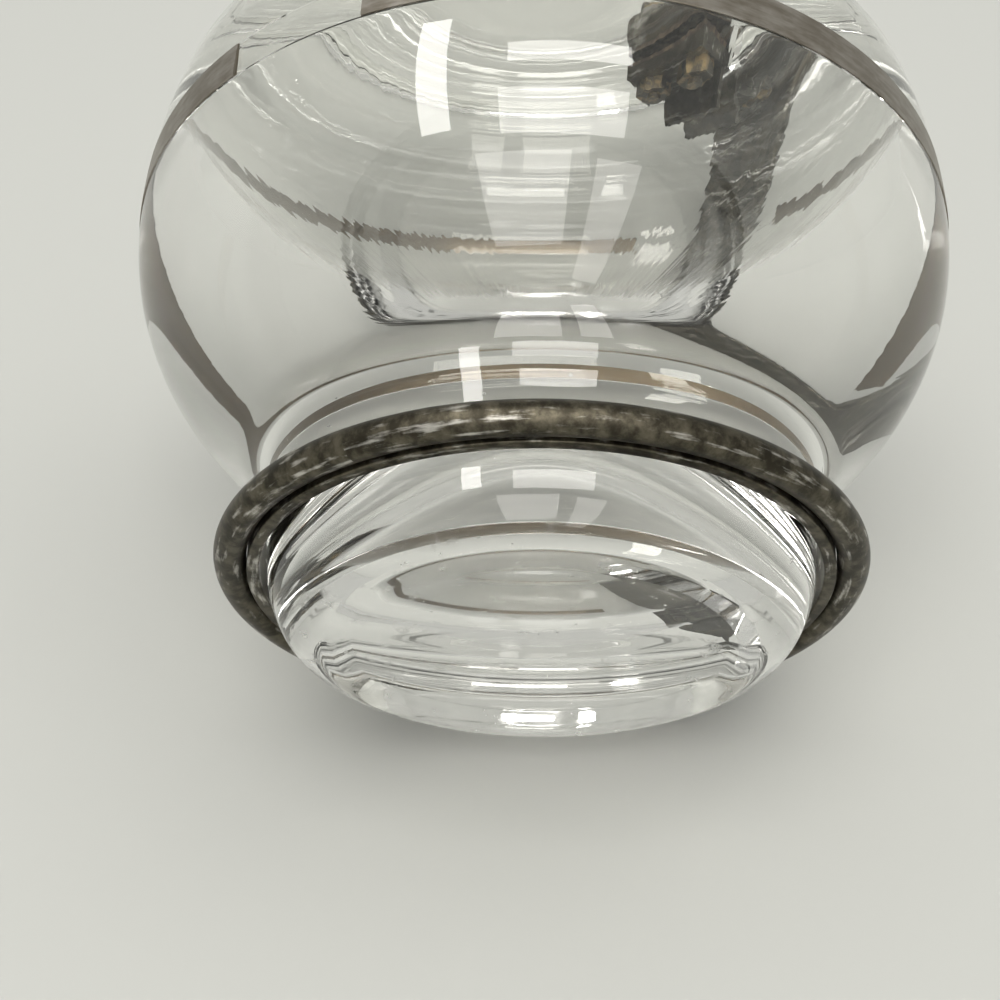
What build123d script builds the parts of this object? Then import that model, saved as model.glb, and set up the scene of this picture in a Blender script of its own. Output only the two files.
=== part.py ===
from build123d import *
import math
import os

# A glass creamer in a plated frame. Millimetres, +Z up, foot on Z = 0.
# The handle stands on +X, the spout points to -X and the lid hinge runs along Y.

# Glass body, outside
FOOT_HEIGHT = 8.4
FOOT_RADIUS = 26.8
FOOT_CORNER = 5.7
FOOT_LAND_RADIUS = FOOT_RADIUS - FOOT_CORNER
FOOT_LAND_WIDTH = 2.1
FOOT_PUSH_UP = 1.6
NECK_RISE = 6.0
NECK_LEAN = 0.08
NECK_FLARE = 4.5
GLOBE_RADIUS = 42.8
GLOBE_HEIGHT = 43.9
GLOBE_DROP = 33.0
GLOBE_RISE = 48.0
GLOBE_START_ANGLE = 45.0
MOUTH_INSET = 8.9
MOUTH_RADIUS = GLOBE_RADIUS - MOUTH_INSET
MOUTH_HEIGHT = 67.5
MOUTH_UPRIGHT = 3.6
SHOULDER_DROP = 9.0

# Glass body, inside
FLOOR_HEIGHT = 38.9
FLOOR_FULLNESS = 0.88
FLOOR_UPTURN = 0.06
CAVITY_LIFT = 13.6
CAVITY_HEIGHT = GLOBE_HEIGHT + CAVITY_LIFT
WALL = 9.2
RIM_WALL = 2.5
RIM_ROUND = 0.8
CAVITY_RISE = 46.0

# Pouring spout, pulled from the top of the wall
SPOUT_REACH = 5.5
SPOUT_SPREAD = 17.0
SPOUT_DROP = 9.4
SPOUT_CURL = 2.2
LIP_SECTIONS = 5
LIP_POINTS = 48
LIP_STEP = 0.02

# Waist band, laid in a shallow groove and a little proud of the glass
BAND_RISE = 0.6
BAND_HEIGHT = 4.3
BAND_DEPTH = 0.13
BAND_PROUD = 0.12
BAND_HANDLE_GAP = 30.0
BAND_SPOUT_GAP = 20.0

# Base ring
RING_LIFT = 0.1
RING_HEIGHT = FOOT_HEIGHT + RING_LIFT
COLLAR_FIT = 0.7
COLLAR_BORE_RADIUS = FOOT_RADIUS + COLLAR_FIT
BEAD_RADIUS = 1.6
BEAD_SETBACK = 2.9
BEAD_CENTRE_RADIUS = COLLAR_BORE_RADIUS + BEAD_SETBACK
COLLAR_FLANGE_DROP = 1.4
COLLAR_RISE = 3.1
COLLAR_TOP = RING_HEIGHT + COLLAR_RISE
COLLAR_WALL = 0.8
COLLAR_LIP = 0.5
COLLAR_EDGE_ROUND = 0.2

# Strap handle
STRAP_THICKNESS = 2.0
STRAP_FOOT_WIDTH = 12.5
STRAP_HEAD_WIDTH = 10.0
STRAP_STAND_OFF = 8.0
STRAP_EDGE_ROUND = 0.7
STRAP_FOOT_ANGLE = 64.0
STRAP_FOOT_PULL = 12.0
STRAP_GRIP_PULL = 26.0
STRAP_ELBOW = 4.0
GRIP_LIFT = 14.1
GRIP_START = GLOBE_HEIGHT + GRIP_LIFT

# Hinge
HINGE_SETBACK = 5.6
HINGE_X = MOUTH_RADIUS + HINGE_SETBACK
HINGE_RISE = 4.5
HINGE_HEIGHT = MOUTH_HEIGHT + HINGE_RISE
BARREL_RADIUS = 2.0
PIN_RADIUS = 0.75
MOVING_KNUCKLE = 5.0
FIXED_KNUCKLE = 3.2
PIN_OVERHANG = 0.3
BRACKET_THICKNESS = 1.2
BRACKET_NOSE = 4.5
BRACKET_CORNER = 2.0
SHEET = 0.8
CLIP_WIDTH = 6.4
CLIP_INNER_DROP = 3.5
CLIP_OUTER_DROP = 3.4
CLIP_INNER_STEP = 0.5
CLIP_BEND = 0.7
RIVET_RADIUS = 0.9
RIVET_HEAD_RADIUS = 1.7
RIVET_HEAD = 0.7
RIVET_SPACING = 5.0
RIVET_EDGE = 2.8
RIVET_REACH = 12.0

# Lid
LID_INSET = 0.5
LID_RADIUS = MOUTH_RADIUS - LID_INSET
LID_WALL = 2.4
LID_FLANGE = 11.4
LID_DOME_RADIUS = LID_RADIUS - LID_FLANGE
LID_DOME_RISE = 5.6
LID_DOME_FULLNESS = 0.8
LID_REGISTER_DEPTH = 1.6
LID_REGISTER_WALL = 1.8
LID_NOTCH_WIDTH = 8.8
LID_NOTCH_DEPTH = 4.2
LID_NOTCH_END = LID_RADIUS - LID_NOTCH_DEPTH
JAW_LENGTH = 5.0
JAW_WIDTH = 8.4
JAW_THICKNESS = 1.0
PAD_THICKNESS = 0.25
SCREW_RADIUS = 0.8
SCREW_HEAD_RADIUS = 1.5
SCREW_HEAD = 0.9
SCREW_HEAD_ROUND = 0.3
SCREW_SLOT = 0.4
SCREW_SLOT_DEPTH = 0.45
SCREW_SPACING = 4.8
NUT_ACROSS = 3.2
NUT_HEIGHT = 1.1
SCREW_TIP = 0.5

# Clearances
PIN_FIT = 0.01
HINGE_FIT = 0.08
KNUCKLE_GAP = 0.2
SEAT_GAP = 0.05
GLASS_GAP = 0.1
REGISTER_GAP = 0.9
RUNNING_GAP = 0.3
SCREW_HOLE_GAP = 0.25


def spun(edges):
    """Solid of revolution about Z from edges drawn as radius and height."""
    return revolve(Plane.XZ * make_face(edges), axis=Axis.Z)


def ring_sector(solid, start, sweep):
    """The part of a solid between two directions about Z, in degrees."""
    reach = 2 * GLOBE_RADIUS
    tall = 2 * MOUTH_HEIGHT
    wedge = make_face([
        Line((0, 0), reach * Vector(1, 0).rotate(Axis.Z, start)),
        CenterArc((0, 0), reach, start, sweep),
        Line((0, 0), reach * Vector(1, 0).rotate(Axis.Z, start + sweep)),
    ])
    return solid & extrude(wedge, tall)


def block(x_low, x_high, width, z_low, z_high):
    """A box across the middle plane Y = 0."""
    middle = ((x_low + x_high) / 2, 0, (z_low + z_high) / 2)
    return Pos(*middle) * Box(x_high - x_low, width, z_high - z_low)


def cross_rod(radius, length, x, y, z):
    """A cylinder along Y, centred at the given point."""
    return Pos(x, y, z) * Rot(90, 0, 0) * Cylinder(radius, length)


def globe_radius_at(height):
    """Outer radius of the globe at a height above its widest circle."""
    return GLOBE_RADIUS * math.sqrt(1 - ((height - GLOBE_HEIGHT) / GLOBE_RISE) ** 2)


def lip_root():
    """Height at which the pulled spout starts."""
    return MOUTH_HEIGHT - SPOUT_DROP


def ellipse_arc(centre, across, upright, start, sweep):
    """Smooth arc of an upright ellipse, its ends given by turn from the level direction."""
    begin = math.radians(start)
    finish = math.radians(start + sweep)
    pull = 4 / 3 * math.tan(math.radians(sweep) / 4)
    ends = []
    pulls = []
    for turn in (begin, finish):
        ends.append(Vector(*centre) + Vector(across * math.cos(turn), upright * math.sin(turn)))
        pulls.append(pull * Vector(-across * math.sin(turn), upright * math.cos(turn)))
    return Bezier(ends[0], ends[0] + pulls[0], ends[1] - pulls[1], ends[1])


def mouth_curve(waist_height, bore, rise, mouth_radius):
    """Upper wall from its widest circle up to the mouth, as two joined edges."""
    shoulder = math.asin((MOUTH_HEIGHT - SHOULDER_DROP - waist_height) / rise)
    upper = ellipse_arc((0, waist_height), bore, rise, 0, math.degrees(shoulder))
    mouth = Bezier(
        upper @ 1,
        upper @ 1 + MOUTH_UPRIGHT * (upper % 1),
        (mouth_radius, MOUTH_HEIGHT - MOUTH_UPRIGHT),
        (mouth_radius, MOUTH_HEIGHT),
    )
    return upper, mouth


def outer_mouth_curve():
    return mouth_curve(GLOBE_HEIGHT, GLOBE_RADIUS, GLOBE_RISE, MOUTH_RADIUS)


def inner_mouth_curve():
    return mouth_curve(
        CAVITY_HEIGHT, GLOBE_RADIUS - WALL, CAVITY_RISE, MOUTH_RADIUS - RIM_WALL
    )


def wall_radius(curves, height):
    """Radius at which a wall's curve crosses a height."""
    level = Line((0, height), (2 * GLOBE_RADIUS, height))
    crossings = []
    for curve in curves:
        crossings += curve.intersect(level) or []
    return max(point.center().X for point in crossings)


def lip_form(curves, step, over):
    """Upper wall with the spout pulled out of it, lofted through closed curves."""
    sections = []
    for index in range(LIP_SECTIONS):
        share = index / (LIP_SECTIONS - 1)
        height = lip_root() + share * SPOUT_DROP
        radius = curves[1].end_point().X if share == 1 else wall_radius(curves, height)
        pull = SPOUT_REACH * share ** SPOUT_CURL
        points = []
        for turn in range(LIP_POINTS):
            angle = 360 * turn / LIP_POINTS
            off = (angle - 180) / SPOUT_SPREAD
            reach = radius + step + pull * math.exp(-off * off)
            points.append(Vector(reach, 0, height).rotate(Axis.Z, angle))
        sections.append(make_face(Spline(*points, periodic=True)))
    form = loft(sections)
    if over > 0:
        form += extrude(sections[-1], over)
    return form


def glass_outside():
    """The filled outer form of the glass, foot to mouth."""
    push_up = TangentArc(
        (0, FOOT_PUSH_UP), (FOOT_LAND_RADIUS - FOOT_LAND_WIDTH, 0), tangent=(1, 0)
    )
    land = Line(push_up @ 1, (FOOT_LAND_RADIUS, 0))
    foot = ellipse_arc(
        (FOOT_LAND_RADIUS, FOOT_HEIGHT), FOOT_RADIUS - FOOT_LAND_RADIUS, FOOT_HEIGHT, -90, 90
    )
    lower = ellipse_arc(
        (0, GLOBE_HEIGHT), GLOBE_RADIUS, GLOBE_DROP, -GLOBE_START_ANGLE, GLOBE_START_ANGLE
    )
    foot_top = foot @ 1
    neck = Bezier(
        foot_top,
        foot_top + NECK_RISE * Vector(NECK_LEAN, 1),
        lower @ 0 - NECK_FLARE * (lower % 0),
        lower @ 0,
    )
    upper, mouth = outer_mouth_curve()
    top = Line(mouth @ 1, (0, MOUTH_HEIGHT))
    axis = Line(top @ 1, push_up @ 0)
    filled = spun([push_up, land, foot, neck, lower, upper, mouth, top, axis])
    below = filled - Pos(0, 0, lip_root()) * Cylinder(
        2 * GLOBE_RADIUS, 2 * SPOUT_DROP, align=(Align.CENTER, Align.CENTER, Align.MIN)
    )
    return below + lip_form((upper, mouth), -LIP_STEP, 0)


def glass_cavity():
    """The space inside the glass, open past the mouth."""
    bore = GLOBE_RADIUS - WALL
    lower = Bezier(
        (0, FLOOR_HEIGHT),
        (FLOOR_FULLNESS * bore, FLOOR_HEIGHT),
        (bore, CAVITY_HEIGHT - FLOOR_UPTURN * (CAVITY_HEIGHT - FLOOR_HEIGHT)),
        (bore, CAVITY_HEIGHT),
    )
    upper, mouth = inner_mouth_curve()
    top = Line(mouth @ 1, (0, MOUTH_HEIGHT))
    axis = Line(top @ 1, (0, FLOOR_HEIGHT))
    cavity = spun([lower, upper, mouth, top, axis])
    below = cavity - Pos(0, 0, lip_root() + LIP_STEP) * Cylinder(
        2 * GLOBE_RADIUS, 2 * SPOUT_DROP, align=(Align.CENTER, Align.CENTER, Align.MIN)
    )
    return below, lip_form((upper, mouth), LIP_STEP, RIM_WALL)


def groove_floor():
    """Low edge, high edge and radius of the floor of the waist band's groove."""
    low = GLOBE_HEIGHT + BAND_RISE
    high = low + BAND_HEIGHT
    return low, high, globe_radius_at(high) - BAND_DEPTH


def waist_groove():
    """Ring of space that the waist band lies in."""
    low, high, radius = groove_floor()
    outline = Rectangle(GLOBE_RADIUS, high - low, align=(Align.MIN, Align.MIN))
    return revolve(Plane.XZ * Pos(radius, low) * outline, axis=Axis.Z)


def glass_body():
    bowl, lip = glass_cavity()
    body = glass_outside() - lip - bowl
    rim_edges = body.edges().filter_by_position(Axis.Z, MOUTH_HEIGHT, MOUTH_HEIGHT)
    body = fillet(rim_edges, RIM_ROUND)
    return body - waist_groove()


def waist_bands():
    """Two strips of the band, parted at the handle and at the spout."""
    groove_low, groove_high, floor_radius = groove_floor()
    inner = floor_radius + SEAT_GAP / 2
    low = groove_low + SEAT_GAP
    high = groove_high - SEAT_GAP
    middle = (low + high) / 2
    outer = [(globe_radius_at(z) + BAND_PROUD, z) for z in (low, middle, high)]
    corners = Polyline(outer[0], (inner, low), (inner, high), outer[2])
    face = ThreePointArc(*outer)
    strip = spun([corners, face])
    sweep = 180 - (BAND_HANDLE_GAP + BAND_SPOUT_GAP) / 2
    left = ring_sector(strip, BAND_HANDLE_GAP / 2, sweep)
    return left, mirror(left, about=Plane.XZ)


def bead(swell):
    """The round wire of the base ring, or the seat that takes it."""
    return Pos(0, 0, RING_HEIGHT) * Torus(BEAD_CENTRE_RADIUS, BEAD_RADIUS + swell)


def base_collar():
    """Flanged collar inside the bead, its top lip turned in to the glass."""
    outer = BEAD_CENTRE_RADIUS - BEAD_RADIUS - SEAT_GAP
    bottom = RING_HEIGHT - COLLAR_FLANGE_DROP
    wall_outer = COLLAR_BORE_RADIUS + COLLAR_WALL
    flange_top = RING_HEIGHT + COLLAR_FLANGE_DROP / 2
    points = [
        (COLLAR_BORE_RADIUS, bottom),
        (outer, bottom),
        (outer, flange_top),
        (wall_outer, flange_top + (outer - wall_outer)),
        (wall_outer, COLLAR_TOP),
        (COLLAR_BORE_RADIUS - COLLAR_LIP / 2, COLLAR_TOP),
        (COLLAR_BORE_RADIUS - COLLAR_LIP / 2, COLLAR_TOP - COLLAR_LIP),
        (COLLAR_BORE_RADIUS, COLLAR_TOP - 2 * COLLAR_LIP),
    ]
    profile = Plane.XZ * make_face(Polyline(*points, close=True))
    collar = revolve(profile, axis=Axis.Z)
    lower_edges = collar.edges().filter_by(GeomType.CIRCLE).group_by(Axis.Z)[0]
    return fillet(lower_edges, COLLAR_EDGE_ROUND)


def strap_route():
    """Middle line of the handle strap: up from the base ring, round the elbow, level to its end."""
    grip = GLOBE_RADIUS + STRAP_STAND_OFF
    seat = strap_seat_height() + STRAP_THICKNESS / 2
    foot = Vector(BEAD_CENTRE_RADIUS + BEAD_RADIUS / 2, RING_HEIGHT)
    sweep = Bezier(
        foot,
        foot + STRAP_FOOT_PULL * Vector(1, 0).rotate(Axis.Z, STRAP_FOOT_ANGLE),
        (grip, GRIP_START - STRAP_GRIP_PULL),
        (grip, GRIP_START),
    )
    upright = Line(sweep @ 1, (grip, seat - STRAP_ELBOW))
    elbow = CenterArc((grip - STRAP_ELBOW, seat - STRAP_ELBOW), STRAP_ELBOW, 0, 90)
    level = Line(elbow @ 1, (HINGE_X + BARREL_RADIUS + 2 * RUNNING_GAP, seat))
    return [sweep, upright, elbow, level]


def bracket_end():
    """Back edge of the hinge bracket and clips, where the strap's level end begins."""
    return GLOBE_RADIUS + STRAP_STAND_OFF - STRAP_ELBOW


def strap_seat_height():
    """Underside of the strap where it lies on the hinge bracket."""
    return bracket_bottom() + BRACKET_THICKNESS + SEAT_GAP


def bracket_bottom():
    return MOUTH_HEIGHT + GLASS_GAP + SHEET + SEAT_GAP


def handle_strap():
    """Tapered strap with rounded edges, hollowed at its foot to sit on the bead."""
    side = Plane.XZ * trace(strap_route(), STRAP_THICKNESS)
    strap = Pos(0, STRAP_FOOT_WIDTH / 2, 0) * extrude(side, STRAP_FOOT_WIDTH)
    head_height = strap_seat_height() + STRAP_THICKNESS
    taper = Plane.YZ * make_face(Polyline(
        (-STRAP_FOOT_WIDTH / 2, 0),
        (STRAP_FOOT_WIDTH / 2, 0),
        (STRAP_HEAD_WIDTH / 2, head_height),
        (-STRAP_HEAD_WIDTH / 2, head_height),
        close=True,
    ))
    strap &= extrude(taper, 2 * (GLOBE_RADIUS + STRAP_STAND_OFF))
    long_edges = strap.edges().filter_by(lambda edge: (edge @ 0).Y * (edge @ 1).Y > 0)
    strap = fillet(long_edges, STRAP_EDGE_ROUND)
    strap -= bead(SEAT_GAP)
    return strap - rivet_holes(SEAT_GAP)


def rivet_places():
    x = bracket_end() - RIVET_EDGE
    return [(x, -RIVET_SPACING / 2), (x, RIVET_SPACING / 2)]


def rivet_holes(gap):
    holes = []
    for x, y in rivet_places():
        holes.append(Pos(x, y, bracket_bottom()) * Cylinder(RIVET_RADIUS + gap, RIVET_REACH))
    return holes


def hinge_bracket():
    """Plate under the strap's end, with the two fixed knuckles."""
    bottom = bracket_bottom()
    top = bottom + BRACKET_THICKNESS
    width = MOVING_KNUCKLE + 2 * (KNUCKLE_GAP + FIXED_KNUCKLE)
    bracket = block(HINGE_X - BRACKET_NOSE, bracket_end(), width, bottom, top)
    bracket = fillet(bracket.edges().filter_by(Axis.Z), BRACKET_CORNER)
    offset = MOVING_KNUCKLE / 2 + KNUCKLE_GAP + FIXED_KNUCKLE / 2
    for y in (-offset, offset):
        web_height = HINGE_HEIGHT - bottom
        web = Pos(HINGE_X, y, bottom + web_height / 2) * Box(
            2 * BARREL_RADIUS, FIXED_KNUCKLE, web_height
        )
        bracket += web + cross_rod(BARREL_RADIUS, FIXED_KNUCKLE, HINGE_X, y, HINGE_HEIGHT)
    bracket -= cross_rod(PIN_RADIUS + PIN_FIT, 2 * width, HINGE_X, 0, HINGE_HEIGHT)
    return bracket - rivet_holes(SEAT_GAP)


def clip_over_rim():
    """Strip that runs in over the glass rim and turns down inside the mouth."""
    bottom = MOUTH_HEIGHT + GLASS_GAP
    inner_face = MOUTH_RADIUS - RIM_WALL - CLIP_INNER_STEP
    top = bottom + SHEET
    tail = bracket_end() - SHEET
    strip = block(inner_face - SHEET, tail, CLIP_WIDTH, bottom, top)
    leg = block(inner_face - SHEET, inner_face, CLIP_WIDTH, MOUTH_HEIGHT - CLIP_INNER_DROP, top)
    clip = strip + leg
    corner = clip.edges().filter_by(Axis.Y).group_by(Axis.X)[0].sort_by(Axis.Z)[-1]
    clip = fillet(corner, CLIP_BEND)
    return clip - rivet_holes(SEAT_GAP)


def clip_outside_rim():
    """Strip under the first one, turned down along the outside of the glass."""
    top = MOUTH_HEIGHT + GLASS_GAP - SEAT_GAP
    bottom = top - SHEET
    tail = bracket_end() - SHEET
    low = top - CLIP_OUTER_DROP
    slope = (wall_radius(outer_mouth_curve(), low) - MOUTH_RADIUS) / (MOUTH_HEIGHT - low)
    shift = SHEET * math.hypot(1, slope)
    near = MOUTH_RADIUS + 2 * GLASS_GAP + SHEET
    points = [
        (tail, top),
        (near, top),
        (near + slope * CLIP_OUTER_DROP, low),
        (near + slope * CLIP_OUTER_DROP + shift, low),
        (near + slope * SHEET + shift, bottom),
        (tail, bottom),
    ]
    outline = Plane.XZ * make_face(Polyline(*points, close=True))
    clip = extrude(outline, CLIP_WIDTH / 2, both=True)
    return clip - rivet_holes(SEAT_GAP)


def bracket_rivets():
    """Two rivets through strap, bracket and both clip strips."""
    low = MOUTH_HEIGHT + GLASS_GAP - SEAT_GAP - SHEET
    high = strap_seat_height() + STRAP_THICKNESS
    rivets = []
    for x, y in rivet_places():
        shank = Pos(x, y, (low + high) / 2) * Cylinder(RIVET_RADIUS, high - low + 2 * SEAT_GAP)
        heads = []
        for z, turn in ((high + SEAT_GAP, 0), (low - SEAT_GAP, 180)):
            heads.append(Pos(x, y, z) * Rot(turn, 0, 0) * rivet_head())
        rivets.append(shank + heads)
    return Compound(children=rivets)


def rivet_head():
    dome = TangentArc((0, RIVET_HEAD), (RIVET_HEAD_RADIUS, 0), tangent=(1, 0))
    return spun([dome, Line(dome @ 1, (0, 0)), Line((0, 0), dome @ 0)])


def hinge_pin():
    length = MOVING_KNUCKLE + 2 * (KNUCKLE_GAP + FIXED_KNUCKLE + PIN_OVERHANG)
    pin = cross_rod(PIN_RADIUS, length, HINGE_X, 0, HINGE_HEIGHT)
    return fillet(pin.edges().filter_by(GeomType.CIRCLE), PIN_OVERHANG)


def lid_bottom():
    return MOUTH_HEIGHT + RUNNING_GAP


def lid_glass():
    """Clear lid: flat flange, shallow dome and a register ring that drops into the mouth."""
    bottom = lid_bottom()
    flange_top = bottom + LID_WALL
    register_outer = MOUTH_RADIUS - RIM_WALL - REGISTER_GAP
    register_inner = register_outer - LID_REGISTER_WALL
    crown = flange_top + LID_DOME_RISE
    outer_dome = Bezier(
        (0, crown),
        (LID_DOME_RADIUS / 2, crown),
        (LID_DOME_FULLNESS * LID_DOME_RADIUS, flange_top),
        (LID_DOME_RADIUS, flange_top),
    )
    inner_dome = Bezier(
        (LID_DOME_RADIUS - LID_WALL / 2, bottom),
        (LID_DOME_FULLNESS * LID_DOME_RADIUS - LID_WALL / 2, bottom),
        (LID_DOME_RADIUS / 2, crown - LID_WALL),
        (0, crown - LID_WALL),
    )
    edge = ThreePointArc(
        (LID_RADIUS - LID_WALL / 2, flange_top),
        (LID_RADIUS, (bottom + flange_top) / 2),
        (LID_RADIUS - LID_WALL / 2, bottom),
    )
    lid = spun([
        outer_dome,
        Line(outer_dome @ 1, edge @ 0),
        edge,
        Line(edge @ 1, (register_outer, bottom)),
        Line((register_outer, bottom), (register_outer, bottom - LID_REGISTER_DEPTH)),
        Line(
            (register_outer, bottom - LID_REGISTER_DEPTH),
            (register_inner, bottom - LID_REGISTER_DEPTH),
        ),
        Line((register_inner, bottom - LID_REGISTER_DEPTH), (register_inner, bottom)),
        Line((register_inner, bottom), inner_dome @ 0),
        inner_dome,
        Line(inner_dome @ 1, outer_dome @ 0),
    ])
    low = bottom - 2 * LID_REGISTER_DEPTH
    high = flange_top + LID_WALL
    lid -= block(LID_NOTCH_END, 2 * LID_RADIUS, LID_NOTCH_WIDTH, low, high)
    jaw_room = JAW_WIDTH + 4 * RUNNING_GAP
    lid -= block(LID_DOME_RADIUS, 2 * LID_RADIUS, jaw_room, low, bottom)
    for x, y in screw_places():
        lid -= Pos(x, y, bottom) * Cylinder(SCREW_RADIUS + SCREW_HOLE_GAP, 4 * LID_WALL)
    return lid


def screw_places():
    x = LID_NOTCH_END - 2 * RUNNING_GAP - JAW_LENGTH / 2
    return [(x, -SCREW_SPACING / 2), (x, SCREW_SPACING / 2)]


def jaw_plate(low, thickness, gap):
    """Plate over the hinge side of the lid's flange, drilled for the screws."""
    end = LID_NOTCH_END - 2 * RUNNING_GAP
    plate = block(end - JAW_LENGTH, end, JAW_WIDTH, low, low + thickness)
    for x, y in screw_places():
        plate -= Pos(x, y, low) * Cylinder(SCREW_RADIUS + gap, 4 * thickness)
    return plate


def lid_leaf():
    """Upper jaw with its arm over the rim and the moving knuckle."""
    low = lid_bottom() + LID_WALL + PAD_THICKNESS
    end = LID_NOTCH_END - 2 * RUNNING_GAP
    leaf = jaw_plate(low, JAW_THICKNESS, SEAT_GAP)
    leaf += block(end, HINGE_X, MOVING_KNUCKLE, low, low + JAW_THICKNESS)
    leaf += cross_rod(BARREL_RADIUS, MOVING_KNUCKLE, HINGE_X, 0, HINGE_HEIGHT)
    leaf -= cross_rod(PIN_RADIUS + HINGE_FIT, 2 * MOVING_KNUCKLE, HINGE_X, 0, HINGE_HEIGHT)
    return leaf


def lid_screws():
    """Two cheese-head screws that clamp the jaws to the lid."""
    head_seat = lid_bottom() + LID_WALL + PAD_THICKNESS + JAW_THICKNESS
    tip = lid_bottom() - PAD_THICKNESS - JAW_THICKNESS - NUT_HEIGHT - SCREW_TIP
    screws = []
    for x, y in screw_places():
        shank = Pos(x, y, (tip + head_seat) / 2) * Cylinder(SCREW_RADIUS, head_seat - tip)
        head = Pos(x, y, head_seat + SCREW_HEAD / 2) * Cylinder(SCREW_HEAD_RADIUS, SCREW_HEAD)
        head = fillet(head.edges().group_by(Axis.Z)[-1], SCREW_HEAD_ROUND)
        slot = Pos(x, y, head_seat + SCREW_HEAD) * Box(
            3 * SCREW_HEAD_RADIUS, SCREW_SLOT, 2 * SCREW_SLOT_DEPTH
        )
        screws.append(shank + head - slot)
    return Compound(children=screws)


def lid_nuts():
    top = lid_bottom() - PAD_THICKNESS - JAW_THICKNESS
    nuts = []
    for x, y in screw_places():
        hexagon = RegularPolygon(NUT_ACROSS / 2, 6, major_radius=False)
        nut = Pos(x, y, top - NUT_HEIGHT) * extrude(hexagon, NUT_HEIGHT)
        nut -= Pos(x, y, top) * Cylinder(SCREW_RADIUS + PIN_FIT, 4 * NUT_HEIGHT)
        nuts.append(nut)
    return Compound(children=nuts)


def build():
    band_left, band_right = waist_bands()
    flange_top = lid_bottom() + LID_WALL
    lower_pad = lid_bottom() - PAD_THICKNESS
    return {
        "glass_body": glass_body(),
        "waist_band_left": band_left,
        "waist_band_right": band_right,
        "base_ring_bead": bead(0),
        "base_ring_collar": base_collar(),
        "handle_strap": handle_strap(),
        "hinge_bracket": hinge_bracket(),
        "rim_clip_inner": clip_over_rim(),
        "rim_clip_outer": clip_outside_rim(),
        "bracket_rivets": bracket_rivets(),
        "hinge_pin": hinge_pin(),
        "lid_glass": lid_glass(),
        "lid_leaf": lid_leaf(),
        "lid_jaw": jaw_plate(lower_pad - JAW_THICKNESS, JAW_THICKNESS, SEAT_GAP),
        "lid_pad_upper": jaw_plate(flange_top, PAD_THICKNESS, SEAT_GAP),
        "lid_pad_lower": jaw_plate(lower_pad, PAD_THICKNESS, SEAT_GAP),
        "lid_screws": lid_screws(),
        "lid_nuts": lid_nuts(),
    }


os.makedirs("parts", exist_ok=True)
for name, shape in build().items():
    export_step(shape, f"parts/{name}.step")
    print(name, round(shape.volume, 1))
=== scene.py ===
"""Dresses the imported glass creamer: smooth glass, tarnished plate, a table and soft light.

Sizes in the sub-assemblies are millimetres and become metres in the meshes.
"""

import enum
import logging
import math
from collections.abc import Iterable, Sequence
from dataclasses import dataclass, field

import bmesh
import bpy
import numpy as np
from mathutils import Matrix, Vector


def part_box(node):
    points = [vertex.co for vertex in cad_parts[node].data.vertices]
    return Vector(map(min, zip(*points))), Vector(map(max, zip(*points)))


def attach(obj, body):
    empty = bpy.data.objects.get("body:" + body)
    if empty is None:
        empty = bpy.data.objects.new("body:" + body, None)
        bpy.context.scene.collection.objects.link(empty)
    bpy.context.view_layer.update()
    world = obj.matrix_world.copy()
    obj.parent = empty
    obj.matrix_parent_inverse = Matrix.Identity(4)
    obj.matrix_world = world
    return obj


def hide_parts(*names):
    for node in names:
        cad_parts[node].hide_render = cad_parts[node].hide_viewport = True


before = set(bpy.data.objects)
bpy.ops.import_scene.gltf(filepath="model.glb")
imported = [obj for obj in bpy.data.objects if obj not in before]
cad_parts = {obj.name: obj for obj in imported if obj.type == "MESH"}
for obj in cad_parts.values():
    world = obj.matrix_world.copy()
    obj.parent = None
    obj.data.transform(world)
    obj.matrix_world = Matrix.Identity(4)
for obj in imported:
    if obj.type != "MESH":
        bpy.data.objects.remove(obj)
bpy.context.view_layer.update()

LOG = logging.getLogger("creamer")
MM = 0.001
Station = tuple[float, float]
Point = tuple[float, float, float]


class Body(enum.Enum):
    """The rigid bodies that pieces ride on."""

    PITCHER = "pitcher"
    LID = "lid"


class Slot(enum.Enum):
    """The record's material slots."""

    BODY_GLASS = "body_glass"
    LID_GLASS = "lid_glass"
    BAND_PLATE = "band_plate"
    TARNISHED_PLATE = "tarnished_plate"
    RIVET_BRASS = "rivet_brass"
    PAD = "pad"


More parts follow.
